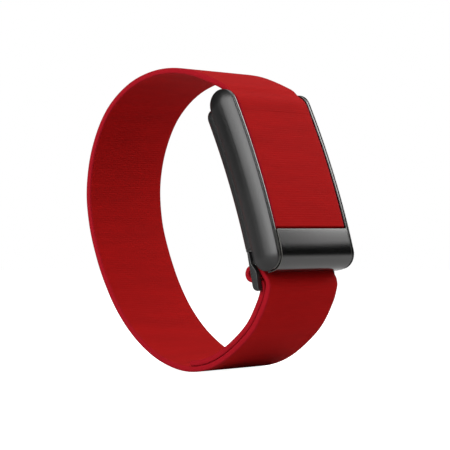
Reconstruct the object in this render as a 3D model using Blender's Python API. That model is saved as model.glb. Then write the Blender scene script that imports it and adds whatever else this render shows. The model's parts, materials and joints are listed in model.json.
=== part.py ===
"""Wrist-worn activity tracker on an elastic band: screenless sensor pod, hinged metal clasp, band adjuster.

The wrist axis runs along X, +Z is up, and the pod faces -Y. The band stands on its lowest point at z = 0.
Pod pieces are drawn in pod coordinates (s, h): s runs along the pod towards the clasp hinge and h points out
of its face. bent() then wraps them round the wrist with radius POD_BEND.
"""

import math

import bmesh
import bpy
from mathutils import Vector

MM = 0.001

# Band
BAND_WIDTH = 24.0 * MM
BAND_THICK = 1.2 * MM
BAND_GAP = 0.2 * MM  # between layers of the band that lie on each other
LOOP_CENTRE = Vector((0, -2.7 * MM, 32.25 * MM))

# Sensor pod
POD_CENTRE = LOOP_CENTRE + Vector((0, -17.25 * MM, 9.35 * MM))
POD_LEAN = math.radians(20.3)
POD_BEND = 180.0 * MM
CHEEK_TOP = 2.5 * MM
CHEEK_FOOT = -4.15 * MM
CHEEK_ENDS = (-20.3 * MM, 20.0 * MM)
CHEEK_INNER_X = 13.05 * MM
CHEEK_OUTER_X = 14.2 * MM
CORE_HALF = 12.1 * MM
CORE_TOP = 0.2 * MM
CORE_ENDS = (-19.1 * MM, 18.3 * MM)
CAVITY_HALF = 11.1 * MM
CAVITY_ENDS = (-13.0 * MM, 13.0 * MM)
CAVITY_TOP = -0.8 * MM
SHELL_HALF = 12.5 * MM
SHELL_ENDS = (-14.65 * MM, 17.9 * MM)
SHELL_RIM = -4.45 * MM
SHELL_SKIN = -7.0 * MM
SHELL_WALL = 0.9 * MM
CORNER_STEPS = 4
SHELL_CORNER = 1.6 * MM
SHELL_LOW_CORNER = 0.5 * MM  # the end beside the adjuster is nearly square
FIT = 0.3 * MM  # clearance between neighbours

# Skin-side sensor
WINDOW_MID_S = -0.8 * MM
WINDOW_HALF = (9.6 * MM, 6.8 * MM)
WINDOW_SKIN = -7.3 * MM

# Clasp
HINGE_S, HINGE_H = 16.7 * MM, -0.85 * MM
HINGE_PIN_R = 0.6 * MM
ARM_X = (12.3 * MM, 12.8 * MM)
ARM_FOOT = -0.5 * MM
PLATE_H = (0.5 * MM, 1.05 * MM)
PANEL_H = (1.35 * MM, 2.5 * MM)
COVER_TOP = 2.75 * MM
COVER_WALL = 0.6 * MM
COVER_EDGE_S = -12.3 * MM
COVER_END_S, COVER_END_H = -16.9 * MM, -0.85 * MM
ANCHOR_S, ANCHOR_H = -15.9 * MM, 0.75 * MM
ANCHOR_R = 0.4 * MM

# Band adjuster, in its own coordinates from its pin: t towards the skin and d down
ADJUSTER_PIN = LOOP_CENTRE + Vector((0, -17.9 * MM, -7.6 * MM))
ADJUSTER_LEAN = math.radians(8.5)
ADJUSTER_PIN_R = 0.5 * MM
ADJUSTER_PIN_END = 12.4 * MM
KNUCKLE_R = 1.15 * MM
KNUCKLE_X = (5.3 * MM, 12.7 * MM)
RAIL_X = (12.3 * MM, 13.6 * MM)
RAIL_TOP_D, RAIL_FOOT_D = -1.4 * MM, 7.0 * MM
CROSS_BAR = (-0.3 * MM, 3.4 * MM)
CROSS_BAR_R = 0.4 * MM
FOOT_BAR_T = (-0.1 * MM, 0.5 * MM)
FOOT_BAR_D = (5.5 * MM, 6.4 * MM)
SLOT_FROM_D = 1.3 * MM

COLOURS = {
    "pod_plastic": ((0.035, 0.035, 0.037), 0.45, 0.0),
    "gunmetal": ((0.13, 0.13, 0.13), 0.35, 1.0),
    "adjuster_plastic": ((0.02, 0.02, 0.022), 0.4, 0.0),
    "band_knit": ((0.32, 0.006, 0.008), 0.9, 0.0),
    "window_glass": ((0.01, 0.01, 0.012), 0.08, 0.0),
    "steel": ((0.45, 0.45, 0.46), 0.3, 1.0),
    "silicone": ((0.02, 0.02, 0.02), 0.7, 0.0),
    "circuit_board": ((0.01, 0.06, 0.03), 0.5, 0.0),
    "chip": ((0.03, 0.03, 0.03), 0.4, 0.0),
    "battery_foil": ((0.4, 0.4, 0.42), 0.4, 0.8),
    "led": ((0.75, 0.8, 0.7), 0.3, 0.0),
    "photodiode": ((0.08, 0.07, 0.12), 0.2, 0.0),
}


def clear_scene():
    for obj in list(bpy.data.objects):
        bpy.data.objects.remove(obj)


def material(name):
    found = bpy.data.materials.get(name)
    if found:
        return found
    colour, roughness, metallic = COLOURS[name]
    made = bpy.data.materials.new(name)
    made.use_nodes = True
    shader = made.node_tree.nodes["Principled BSDF"]
    shader.inputs["Base Color"].default_value = (*colour, 1)
    shader.inputs["Roughness"].default_value = roughness
    shader.inputs["Metallic"].default_value = metallic
    return made


def empty(name, place, lean=0.0):
    made = bpy.data.objects.new(name, None)
    made.location = place
    made.rotation_euler = (-lean, 0, 0)
    bpy.context.scene.collection.objects.link(made)
    return made


def add_object(name, bm, parent, finish, smooth=True):
    bmesh.ops.recalc_face_normals(bm, faces=bm.faces)
    mesh = bpy.data.meshes.new(name)
    bm.to_mesh(mesh)
    bm.free()
    if smooth:
        mesh.shade_smooth()
        mesh.set_sharp_from_angle(angle=math.radians(35))
    made = bpy.data.objects.new(name, mesh)
    bpy.context.scene.collection.objects.link(made)
    made.parent = parent
    if finish:
        mesh.materials.append(material(finish))
    return made


def prism(name, outline, x_from, x_to, parent, finish=None):
    """A closed (y, z) outline carried along X."""
    bm = bmesh.new()
    near = [bm.verts.new((x_from, y, z)) for y, z in outline]
    far = [bm.verts.new((x_to, y, z)) for y, z in outline]
    bm.faces.new(near)
    bm.faces.new(reversed(far))
    for i in range(len(outline)):
        j = (i + 1) % len(outline)
        bm.faces.new((near[i], near[j], far[j], far[i]))
    return add_object(name, bm, parent, finish)


def lofted(name, rings, parent, finish=None, corner_points=0):
    """Closed rings with the same number of points, bridged one to the next and capped.

    A flat ring gets one face as its cap. A ring that follows the pod's bend gives its corner_points, and its
    cap is a strip of faces from its left half to its right half."""
    bm = bmesh.new()
    loops = [[bm.verts.new(point) for point in ring] for ring in rings]
    for loop in (loops[0], loops[-1]):
        if corner_points:
            turned = loop[corner_points:] + loop[:corner_points]
            left, right = turned[:len(loop) // 2], turned[:len(loop) // 2 - 1:-1]
            for i in range(len(left) - 1):
                bm.faces.new((left[i], left[i + 1], right[i + 1], right[i]))
        else:
            bm.faces.new(loop)
    for first, second in zip(loops, loops[1:]):
        for i in range(len(first)):
            j = (i + 1) % len(first)
            bm.faces.new((first[i], first[j], second[j], second[i]))
    return add_object(name, bm, parent, finish)


def helper(obj):
    obj.hide_render = True
    obj.display_type = "WIRE"
    return obj


def boolean(obj, other, operation):
    modifier = obj.modifiers.new(other.name, "BOOLEAN")
    modifier.object = helper(other)
    modifier.operation = operation
    modifier.solver = "EXACT"


def arc(centre, radius, start, end, steps):
    """Points of an arc in a plane, angles in degrees, both ends included."""
    angles = [math.radians(start + (end - start) * i / steps) for i in range(steps + 1)]
    return [(centre[0] + radius * math.cos(a), centre[1] + radius * math.sin(a)) for a in angles]


def bend_point(s, h):
    """Pod coordinates to the pod's own (y, z): the face looks along -y and the hinge end is up."""
    turn = s / POD_BEND
    return -((POD_BEND + h) * math.cos(turn) - POD_BEND), (POD_BEND + h) * math.sin(turn)


def bent(outline, longest=5.0 * MM):
    """An (s, h) outline wrapped round the wrist, its long edges divided first."""
    points = []
    for (s0, h0), (s1, h1) in zip(outline, outline[1:] + outline[:1]):
        steps = max(1, math.ceil(abs(s1 - s0) / longest))
        points += [(s0 + (s1 - s0) * i / steps, h0 + (h1 - h0) * i / steps) for i in range(steps)]
    return [bend_point(s, h) for s, h in points]


def block(s_from, s_to, h_from, h_to):
    return bent([(s_from, h_from), (s_to, h_from), (s_to, h_to), (s_from, h_to)])


def stadium(ends, foot, top, steps=8):
    """An (s, h) outline with round ends, drawn from its lower hinge end round."""
    radius, middle = (top - foot) / 2, (top + foot) / 2
    upper = arc((ends[1] - radius, middle), radius, -90, 90, steps)
    lower = arc((ends[0] + radius, middle), radius, 90, 270, steps)
    return upper + lower


def smooth_route(points, steps=4):
    """A Catmull-Rom curve through the points, both ends included."""
    padded = [2 * points[0] - points[1], *points, 2 * points[-1] - points[-2]]
    route = []
    for a, b, c, d in zip(padded, padded[1:], padded[2:], padded[3:]):
        for i in range(steps):
            t = i / steps
            route.append(0.5 * (2 * b + (c - a) * t + (2 * a - 5 * b + 4 * c - d) * t**2
                                + (3 * b - a - 3 * c + d) * t**3))
    return route + [points[-1]]


def strip_outline(route, thick):
    """The outline of a strip of this thickness along a route of (y, z) points."""
    left, right = [], []
    for i, point in enumerate(route):
        along = (route[min(i + 1, len(route) - 1)] - route[max(i - 1, 0)]).normalized()
        across = Vector((-along.y, along.x)) * thick / 2
        left.append(tuple(point + across))
        right.append(tuple(point - across))
    return left + right[::-1]


def shifted_route(route, offset):
    """The route moved sideways, to its left, by offset."""
    moved = []
    for i, point in enumerate(route):
        along = (route[min(i + 1, len(route) - 1)] - route[max(i - 1, 0)]).normalized()
        moved.append(point + Vector((-along.y, along.x)) * offset)
    return moved


def cut_route(route, start, end):
    """The stretch of a route between two lengths measured from its first point."""
    kept, travelled = [], 0.0
    for a, b in zip(route, route[1:]):
        step = (b - a).length
        if travelled <= start < travelled + step:
            kept.append(a.lerp(b, (start - travelled) / step))
        if start < travelled + step < end:
            kept.append(b)
        if travelled < end <= travelled + step:
            kept.append(a.lerp(b, (end - travelled) / step))
        travelled += step
    return kept


def route_length(route):
    return sum((b - a).length for a, b in zip(route, route[1:]))


def cylinder_x(name, centre, radius, x_from, x_to, parent, finish=None, sides=16):
    outline = arc(centre, radius, 0, 360 - 360 / sides, sides - 1)
    return prism(name, outline, x_from, x_to, parent, finish)


# ---- pod -----------------------------------------------------------------------------------------------

def cheek(name, side, parent):
    """A pillowed side wall: stadium rings that shrink as they go out."""
    depth = CHEEK_OUTER_X - CHEEK_INNER_X
    rings = []
    for out, inset in ((0, 0), (0.3, 0), (0.6, 0.25), (0.82, 0.8), (0.95, 1.6), (1.0, 2.4)):
        inset *= MM
        outline = stadium(
            (CHEEK_ENDS[0] + inset, CHEEK_ENDS[1] - inset), CHEEK_FOOT + inset, CHEEK_TOP - inset
        )
        x = side * (CHEEK_INNER_X + depth * out)
        rings.append([(x, y, z) for y, z in bent(outline)])
    return lofted(name, rings, parent)


def build_upper_housing(pod):
    radius = (CORE_TOP - CHEEK_FOOT) / 2
    core = stadium(CORE_ENDS, CHEEK_FOOT, CORE_TOP)
    housing = prism("upper_housing", bent(core), -CORE_HALF, CORE_HALF, pod, "pod_plastic")
    sill = block(-16.5 * MM, 12.5 * MM, CHEEK_FOOT, CHEEK_FOOT + 2.9 * MM)
    reach = CHEEK_INNER_X + 0.3 * MM
    boolean(housing, prism("sill", sill, -reach, reach, pod), "UNION")
    for side, name in ((-1, "cheek_left"), (1, "cheek_right")):
        boolean(housing, cheek(name, side, pod), "UNION")
    hinge = bend_point(HINGE_S, HINGE_H)
    knuckle = cylinder_x("hinge_boss", hinge, 1.7 * MM, -CORE_HALF, CORE_HALF, pod, sides=24)
    boolean(housing, knuckle, "UNION")
    inside = block(*CAVITY_ENDS, CHEEK_FOOT - radius, CAVITY_TOP)
    boolean(housing, prism("cavity", inside, -CAVITY_HALF, CAVITY_HALF, pod), "DIFFERENCE")
    pocket = block(-17.5 * MM, -14.2 * MM, -0.55 * MM, 3 * MM)
    boolean(housing, prism("anchor_pocket", pocket, -12.6 * MM, 12.6 * MM, pod), "DIFFERENCE")
    pin = adjuster_pin_in_pod()
    room = KNUCKLE_R + 0.8 * MM
    clear = cylinder_x("adjuster_clearance", pin, room, -12.9 * MM, 12.9 * MM, pod, sides=24)
    boolean(housing, clear, "DIFFERENCE")
    root_y = pin[0] - 2.6 * MM
    lug = arc(pin, KNUCKLE_R, -60, 210, 14)
    lug += [(root_y, pin[1] + 0.2 * MM), (root_y, pin[1] - 1.3 * MM)]
    inner = KNUCKLE_X[0] - FIT
    boolean(housing, prism("adjuster_lug", lug, -inner, inner, pod), "UNION")
    bore_x = CHEEK_INNER_X + 0.5 * MM
    bore = cylinder_x("adjuster_bore", pin, ADJUSTER_PIN_R + FIT, -bore_x, bore_x, pod, sides=16)
    boolean(housing, bore, "DIFFERENCE")
    hinge_bore = cylinder_x("hinge_bore", hinge, HINGE_PIN_R + FIT, -bore_x, bore_x, pod)
    boolean(housing, hinge_bore, "DIFFERENCE")
    spring_slot = block(-20 * MM, -18.35 * MM, -3.2 * MM, -1.0 * MM)
    boolean(housing, prism("spring_slot", spring_slot, -5.3 * MM, 5.3 * MM, pod), "DIFFERENCE")


def adjuster_pin_in_pod():
    offset = ADJUSTER_PIN - POD_CENTRE
    cos, sin = math.cos(POD_LEAN), math.sin(POD_LEAN)
    return offset.y * cos - offset.z * sin, offset.y * sin + offset.z * cos


def rounded_plan(half_x, ends, radius, low_radius=None, steps=CORNER_STEPS):
    """An (x, s) outline with round corners; the two at the low end can have a radius of their own."""
    high, low = radius, low_radius or radius
    middle, half_s = (ends[0] + ends[1]) / 2, (ends[1] - ends[0]) / 2
    points = []
    for corner, (sx, sy, radius) in enumerate(((1, 1, high), (-1, 1, high), (-1, -1, low), (1, -1, low))):
        centre = (sx * (half_x - radius), middle + sy * (half_s - radius))
        points += arc(centre, radius, corner * 90, corner * 90 + 90, steps)
    return points


def shell_ring(half_x, ends, radius, h, low_radius=None):
    """A ring of the skin shell at height h, its long sides divided so that it follows the bend."""
    plan = rounded_plan(half_x, ends, radius, low_radius)
    points = []
    for (x0, s0), (x1, s1) in zip(plan, plan[1:] + plan[:1]):
        steps = 6 if abs(s1 - s0) > 10 * MM else 1
        points += [(x0 + (x1 - x0) * i / steps, s0 + (s1 - s0) * i / steps) for i in range(steps)]
    return [(x, *bend_point(s, h)) for x, s in points]


def build_lower_housing(pod):
    rings = []
    for h, inset in ((SHELL_RIM, 0), (-5.3 * MM, 0), (-6.3 * MM, 0.4 * MM), (SHELL_SKIN, 1.2 * MM)):
        ends = (SHELL_ENDS[0] + inset / 4, SHELL_ENDS[1] - inset)
        radius = SHELL_CORNER - inset / 2
        rings.append(shell_ring(SHELL_HALF - inset, ends, radius, h, SHELL_LOW_CORNER))
    shell = lofted("lower_housing", rings, pod, "pod_plastic", CORNER_STEPS + 1)
    inside = block(*CAVITY_ENDS, SHELL_SKIN + SHELL_WALL, 0)
    boolean(shell, prism("shell_cavity", inside, -CAVITY_HALF, CAVITY_HALF, pod), "DIFFERENCE")
    half_x, half_s = (size + FIT for size in WINDOW_HALF)
    hole = block(WINDOW_MID_S - half_s, WINDOW_MID_S + half_s, -9 * MM, -5 * MM)
    boolean(shell, prism("window_hole", hole, -half_x, half_x, pod), "DIFFERENCE")


def build_sensor(pod):
    mid = WINDOW_MID_S
    flat = [
        [(x, -h, s) for x, s in rounded_plan(WINDOW_HALF[0] - inset, ends, 2.0 * MM - inset)]
        for h, inset in ((-6.35 * MM, 0), (-7.1 * MM, 0), (WINDOW_SKIN, 0.3 * MM))
        for ends in [(mid - WINDOW_HALF[1] + inset, mid + WINDOW_HALF[1] - inset)]
    ]
    lofted("sensor_window", flat, pod, "window_glass")
    board = block(mid - 8.2 * MM, mid + 4.7 * MM, -5.3 * MM, -4.9 * MM)
    prism("sensor_board", board, -9.3 * MM, 9.3 * MM, pod, "circuit_board")
    baffle = block(mid - 5.6 * MM, mid + 5.6 * MM, -6.15 * MM, -5.6 * MM)
    baffle = prism("light_baffle", baffle, -8.6 * MM, 8.6 * MM, pod, "silicone")
    for name, x_mid, half_x, half_s in (
        ("led_cell", 0, 3.7, 1.3), ("diode_cell_left", -6.1, 1.6, 4.9), ("diode_cell_right", 6.1, 1.6, 4.9)
    ):
        cell = block(mid - half_s * MM, mid + half_s * MM, -7 * MM, -5 * MM)
        cutter = prism(name, cell, (x_mid - half_x) * MM, (x_mid + half_x) * MM, pod)
        boolean(baffle, cutter, "DIFFERENCE")
    for i in range(3):
        x = (i - 1) * 2.4 * MM
        body = block(mid - 0.8 * MM, mid + 0.8 * MM, -6.05 * MM, -5.6 * MM)
        prism(f"led_{i + 1}", body, x - 0.8 * MM, x + 0.8 * MM, pod, "led")
    for i in range(4):
        x = (-6.1 if i < 2 else 6.1) * MM
        s = mid + (-2.8 if i % 2 else 2.8) * MM
        body = block(s - 1.2 * MM, s + 1.2 * MM, -6.0 * MM, -5.6 * MM)
        prism(f"photodiode_{i + 1}", body, x - 1.2 * MM, x + 1.2 * MM, pod, "photodiode")


def build_electronics(pod):
    for name, finish, x, s, h in (
        ("battery_cell", "battery_foil", (-9.5, 9.5), (-12.2, 2.8), (-4.6, -1.1)),
        ("main_board", "circuit_board", (-9.8, 9.8), (3.6, 12.4), (-1.9, -1.1)),
        ("processor_chip", "chip", (-8.6, -3.6), (5.4, 10.4), (-3.1, -2.2)),
        ("radio_chip", "chip", (-2.6, 0.9), (5.9, 9.4), (-2.9, -2.2)),
    ):
        body = block(s[0] * MM, s[1] * MM, h[0] * MM, h[1] * MM)
        prism(name, body, x[0] * MM, x[1] * MM, pod, finish)
    seal = []
    for inset, h in ((0.3 * MM, -3.5 * MM), (0.3 * MM, -5.2 * MM)):
        ends = (CAVITY_ENDS[0] + inset, CAVITY_ENDS[1] - inset)
        seal.append(shell_ring(CAVITY_HALF - inset, ends, 0.6 * MM, h))
    seal = lofted("housing_seal", seal, pod, "silicone", CORNER_STEPS + 1)
    hollow = []
    for h in (-3.0 * MM, -5.7 * MM):
        ends = (CAVITY_ENDS[0] + 0.6 * MM, CAVITY_ENDS[1] - 0.55 * MM)
        hollow.append(shell_ring(CAVITY_HALF - 0.9 * MM, ends, 0.4 * MM, h))
    boolean(seal, lofted("seal_hollow", hollow, pod, None, CORNER_STEPS + 1), "DIFFERENCE")


def cup_outline(radius, steps=20):
    return arc((0, 0), radius, 0, 360 - 360 / steps, steps - 1)


def build_motor(pod):
    """A coin vibration motor: a can with its shaft, and an eccentric weight that turns on the shaft."""
    y, z = bend_point(8.1 * MM, -3.6 * MM)
    motor = empty("motor_axis", (5.8 * MM, y, z))
    motor.parent = pod
    motor.rotation_euler = (math.radians(90), 0, 0)

    def disc(name, radius, low, high, outline=None, finish=None):
        rings = [[(px, py, level) for px, py in outline or cup_outline(radius)] for level in (low, high)]
        return lofted(name, rings, motor, finish)

    can = disc("motor_can", 4.0 * MM, -1.4 * MM, 1.3 * MM, finish="steel")
    boolean(can, disc("can_hollow", 3.7 * MM, -1.1 * MM, 2 * MM), "DIFFERENCE")
    boolean(can, disc("motor_shaft", 0.4 * MM, -1.3 * MM, 0.9 * MM), "UNION")
    half = arc((0, 0), 3.35 * MM, -10, 190, 12)
    weight = disc("motor_weight", 0, -0.75 * MM, 0.7 * MM, outline=half + arc((0, 0), 1.5 * MM, 205, 335, 6),
                  finish="steel")
    boolean(weight, disc("weight_bore", 0.7 * MM, -2 * MM, 2 * MM), "DIFFERENCE")


def build_pins(pod):
    hinge = bend_point(HINGE_S, HINGE_H)
    cylinder_x("hinge_pin", hinge, HINGE_PIN_R, -13.3 * MM, 13.3 * MM, pod, "steel")
    reach = ADJUSTER_PIN_END
    cylinder_x("adjuster_pin", adjuster_pin_in_pod(), ADJUSTER_PIN_R, -reach, reach, pod, "steel", 12)
    spring = block(-19.0 * MM, -18.65 * MM, -2.9 * MM, -1.3 * MM)
    prism("detent_spring", spring, -5.0 * MM, 5.0 * MM, pod, "steel")


# ---- clasp ---------------------------------------------------------------------------------------------

def build_clasp_frame(pod):
    """Two side arms joined by a thin face plate under the band."""
    hinge = (HINGE_S, HINGE_H)
    end = (COVER_END_S, COVER_END_H)
    arm = arc(hinge, 3.3 * MM, -180, 90, 16)
    tail = arc(end, CHEEK_TOP - COVER_END_H, 90, 165, 6)
    foot = [(COVER_END_S - 2.2 * MM, ARM_FOOT), (HINGE_S - 4.5 * MM, ARM_FOOT)]
    outline = bent(arm + tail + foot)
    frame = prism("clasp_frame", outline, -ARM_X[1], -ARM_X[0], pod, "gunmetal")
    boolean(frame, prism("arm_right", outline, ARM_X[0], ARM_X[1], pod), "UNION")
    plate = block(-13.2 * MM, 14.2 * MM, *PLATE_H)
    width = (ARM_X[0] + ARM_X[1]) / 2
    boolean(frame, prism("face_plate", plate, -width, width, pod), "UNION")
    bore = cylinder_x("arm_bore", bend_point(*hinge), HINGE_PIN_R + FIT, -14 * MM, 14 * MM, pod)
    boolean(frame, bore, "DIFFERENCE")


def build_clasp_cover(pod):
    """The hooked end piece: flat over the band's end, then round the pod's lower end."""
    end = (COVER_END_S, COVER_END_H)
    outer = COVER_TOP - COVER_END_H
    inner = outer - COVER_WALL
    lip = -2.0 * MM
    outline = [(COVER_EDGE_S, COVER_TOP - COVER_WALL), (COVER_EDGE_S, COVER_TOP)]
    outline += arc(end, outer, 90, 180, 10)
    outline += [(COVER_END_S - outer, lip), (COVER_END_S - inner + 0.15 * MM, lip)]
    outline += [(COVER_END_S - inner + 0.15 * MM, lip + 0.5 * MM)] + arc(end, inner, 180, 90, 10)
    half = ARM_X[0] - FIT
    prism("clasp_cover", bent(outline), -half, half, pod, "gunmetal")
    anchor = bend_point(ANCHOR_S, ANCHOR_H)
    cylinder_x("band_anchor", anchor, ANCHOR_R, -11.6 * MM, 11.6 * MM, pod, "steel", 12)


def build_face_panel(pod):
    """The band's stretch over the face. Its thinned end goes under the cover and hooks round the anchor."""
    anchor = (ANCHOR_S, ANCHOR_H)
    low, high = PANEL_H
    tongue = COVER_TOP - COVER_WALL - FIT
    outline = [(14.0 * MM, low), (14.0 * MM, high), (COVER_EDGE_S + FIT, high), (COVER_EDGE_S + FIT, tongue)]
    outline += arc(anchor, tongue - ANCHOR_H, 90, 340, 16)
    outline += arc(anchor, ANCHOR_R + FIT, 340, 90, 16)
    outline += [(ANCHOR_S + 1.5 * MM, low)]
    half = BAND_WIDTH / 2
    prism("band_face_panel", bent(outline), -half, half, pod, "band_knit")


# ---- band ----------------------------------------------------------------------------------------------

def band_route():
    """The band's centre line from the pod's upper end round the wrist to the adjuster, as (y, z)."""
    cos, sin = math.cos(POD_LEAN), math.sin(POD_LEAN)
    mid_h = (PANEL_H[0] + PANEL_H[1]) / 2

    def on_pod(s, h):
        y, z = bend_point(s, h)
        return Vector((POD_CENTRE.y + y * cos + z * sin, POD_CENTRE.z - y * sin + z * cos))

    def on_loop(y, z):
        return Vector((LOOP_CENTRE.y + y * MM, LOOP_CENTRE.z + z * MM))

    start = [on_pod(14.35 * MM, mid_h), on_pod(16.8 * MM, mid_h - 0.05 * MM), on_pod(18.9 * MM, mid_h - 1.2 * MM)]
    rest = [
        (-8.4, 28.6), (0, 31.7), (8.7, 32.3), (17.2, 29.8), (24.0, 24.3), (28.2, 16.5), (29.9, 8.0),
        (29.3, 0), (27.2, -7.2), (24.2, -14.0), (20.2, -20.3), (14.8, -25.8), (8.0, -29.9), (0, -31.6),
        (-8.0, -29.5), (-15.9, -23.5), (-19.8, -17.5), (-21.1, -13.6),
    ]
    return smooth_route(start + [on_loop(*point) for point in rest])


def turn_route():
    """The band's centre line through the adjuster: in over the cross bar, round it and out under it."""
    rest = [
        (-21.15, -13.3), (-21.1, -12.2), (-20.3, -10.95), (-18.9, -9.8), (-17.3, -9.55), (-16.0, -10.2),
        (-15.75, -11.3), (-16.5, -12.25), (-18.1, -12.3), (-19.3, -12.6), (-19.75, -13.5), (-19.5, -14.7),
    ]
    return smooth_route([Vector((LOOP_CENTRE.y + y * MM, LOOP_CENTRE.z + z * MM)) for y, z in rest])


def build_band(root):
    half = BAND_WIDTH / 2
    whole = band_route()
    length = route_length(whole)
    bridge_end = 11.0 * MM

    def strip(name, route, thick=BAND_THICK):
        prism(name, strip_outline(route, thick), -half, half, root, "band_knit")

    strip("band_bridge", cut_route(whole, 0, bridge_end))
    strip("band_loop", cut_route(whole, bridge_end + FIT, length))
    strip("band_turn", turn_route(), 1.0 * MM)
    inside = shifted_route(whole, -(BAND_THICK + BAND_GAP))
    inner_length = route_length(inside)
    tail = 21.3 * MM
    overlap_end = inner_length - 1.9 * MM
    tab = 4.0 * MM
    strip("band_return", cut_route(inside, overlap_end - tail, overlap_end))
    strip("band_end_tab", cut_route(inside, overlap_end - tail - FIT - tab, overlap_end - tail - FIT))


# ---- adjuster ------------------------------------------------------------------------------------------

def rail_outline():
    """The (t, d) side profile of a rail: a slim ear past the pin, then wider below the pod, with a round foot."""
    foot_r, toe_r = 1.25 * MM, 0.25 * MM
    skin_t, face_t = 0.45 * MM, -1.1 * MM
    skin_corner = arc((skin_t - foot_r, RAIL_FOOT_D - foot_r), foot_r, 0, 90, 6)
    face_corner = arc((face_t + toe_r, RAIL_FOOT_D - toe_r), toe_r, 90, 180, 3)
    ear_r = 0.25 * MM
    ear = arc((0.6 * MM, RAIL_TOP_D + ear_r), ear_r, 180, 360, 4)
    shoulder = [(face_t, 3.1 * MM), (-0.6 * MM, 2.3 * MM), (0, SLOT_FROM_D)]
    return ear + skin_corner + face_corner + shoulder


def build_adjuster(root):
    """A slotted link that hangs from its pin. In its own frame t is +y and d is -z."""
    link = empty("adjuster_axis", ADJUSTER_PIN, ADJUSTER_LEAN)
    link.parent = root

    def box(name, half_x, t, d):
        outline = [(t[0], -d[0]), (t[1], -d[0]), (t[1], -d[1]), (t[0], -d[1])]
        return prism(name, outline, -half_x, half_x, link)

    rail = [(t, -d) for t, d in rail_outline()]
    frame = prism("adjuster_frame", rail, RAIL_X[0], RAIL_X[1], link, "adjuster_plastic")
    boolean(frame, prism("rail_left", rail, -RAIL_X[1], -RAIL_X[0], link), "UNION")
    for sign, name in ((-1, "knuckle_left"), (1, "knuckle_right")):
        ends = sorted(sign * x for x in KNUCKLE_X)
        boolean(frame, cylinder_x(name, (0, 0), KNUCKLE_R, *ends, link, sides=20), "UNION")
    joined = (RAIL_X[0] + RAIL_X[1]) / 2
    boolean(frame, box("head_bar", joined, (-0.55 * MM, 0.55 * MM), (0.6 * MM, SLOT_FROM_D)), "UNION")
    boolean(frame, box("foot_bar", joined, FOOT_BAR_T, FOOT_BAR_D), "UNION")
    lug_room = cylinder_x("lug_room", (0, 0), KNUCKLE_R + FIT, -KNUCKLE_X[0], KNUCKLE_X[0], link, sides=20)
    boolean(frame, lug_room, "DIFFERENCE")
    socket_end = RAIL_X[0] + 0.8 * MM
    bar_centre = (CROSS_BAR[0], -CROSS_BAR[1])
    socket = cylinder_x("bar_socket", bar_centre, CROSS_BAR_R + 0.2 * MM, -socket_end, socket_end, link)
    boolean(frame, socket, "DIFFERENCE")
    bore_end = ADJUSTER_PIN_END + FIT
    bore = cylinder_x("frame_bore", (0, 0), ADJUSTER_PIN_R + FIT, -bore_end, bore_end, link)
    boolean(frame, bore, "DIFFERENCE")
    reach = socket_end - FIT
    cylinder_x("adjuster_cross_bar", bar_centre, CROSS_BAR_R, -reach, reach, link, "steel", 12)


def main():
    clear_scene()
    root = empty("tracker", (0, 0, 0))
    pod = empty("pod_frame", POD_CENTRE, POD_LEAN)
    pod.parent = root
    build_upper_housing(pod)
    build_lower_housing(pod)
    build_sensor(pod)
    build_electronics(pod)
    build_motor(pod)
    build_pins(pod)
    build_clasp_frame(pod)
    build_clasp_cover(pod)
    build_face_panel(pod)
    build_band(root)
    build_adjuster(root)


main()
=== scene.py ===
"""Looks of the wrist activity tracker: knitted band, sensor pod, hinged clasp and band adjuster.

The wrist axis runs along X, +Z is up and the pod faces -Y. Pod pieces are drawn in pod coordinates (s, h):
s runs along the pod towards the clasp hinge, h points out of its face, and both follow the pod's slight
bend round the wrist. The band is one section swept along one route, cut in two between its two joints.
"""

import json
import math

import bmesh
import bpy
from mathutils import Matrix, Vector, noise


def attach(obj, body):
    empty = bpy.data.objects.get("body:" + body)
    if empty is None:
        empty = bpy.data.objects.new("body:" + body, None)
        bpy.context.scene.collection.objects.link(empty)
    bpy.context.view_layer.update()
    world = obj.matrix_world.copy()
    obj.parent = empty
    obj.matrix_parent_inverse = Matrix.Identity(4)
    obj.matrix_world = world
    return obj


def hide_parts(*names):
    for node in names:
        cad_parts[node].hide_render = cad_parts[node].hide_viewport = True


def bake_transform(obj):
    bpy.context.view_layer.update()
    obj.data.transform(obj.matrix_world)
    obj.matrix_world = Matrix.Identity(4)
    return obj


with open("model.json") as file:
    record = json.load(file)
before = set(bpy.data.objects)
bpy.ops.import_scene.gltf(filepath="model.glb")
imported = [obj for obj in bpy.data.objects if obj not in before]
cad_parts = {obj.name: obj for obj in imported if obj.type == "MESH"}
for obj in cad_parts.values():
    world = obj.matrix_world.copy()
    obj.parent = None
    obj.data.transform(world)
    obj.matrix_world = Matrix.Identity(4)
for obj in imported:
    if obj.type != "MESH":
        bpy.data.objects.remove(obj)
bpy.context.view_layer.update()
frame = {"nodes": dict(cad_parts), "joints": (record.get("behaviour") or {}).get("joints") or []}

MM = 0.001

# ---- places taken from the frame -----------------------------------------------------------------------

joints = {joint["name"]: joint for joint in frame["joints"]}
HINGE_PIN = Vector(joints["clasp_hinge"]["pos_m"])
ADJUSTER_PIN = Vector(joints["adjuster_hinge"]["pos_m"])
motor_axis = Vector(joints["motor_spin"]["axis"])
POD_LEAN = math.atan2(motor_axis.z, -motor_axis.y)
POD_BEND = 180.0 * MM
HINGE_S, HINGE_H = 16.7 * MM, -0.85 * MM
LOOP_CENTRE = ADJUSTER_PIN + Vector((0, 17.9 * MM, 7.6 * MM))


def leaned(origin, lean, x, y, z):
    """A point of a part that leans back about X, in the world."""
    cos, sin = math.cos(lean), math.sin(lean)
    return Vector((x, origin.y + y * cos + z * sin, origin.z - y * sin + z * cos))


def bend_point(s, h):
    """Pod coordinates to the pod's own (y, z)."""
    turn = s / POD_BEND
    return POD_BEND - (POD_BEND + h) * math.cos(turn), (POD_BEND + h) * math.sin(turn)


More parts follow.
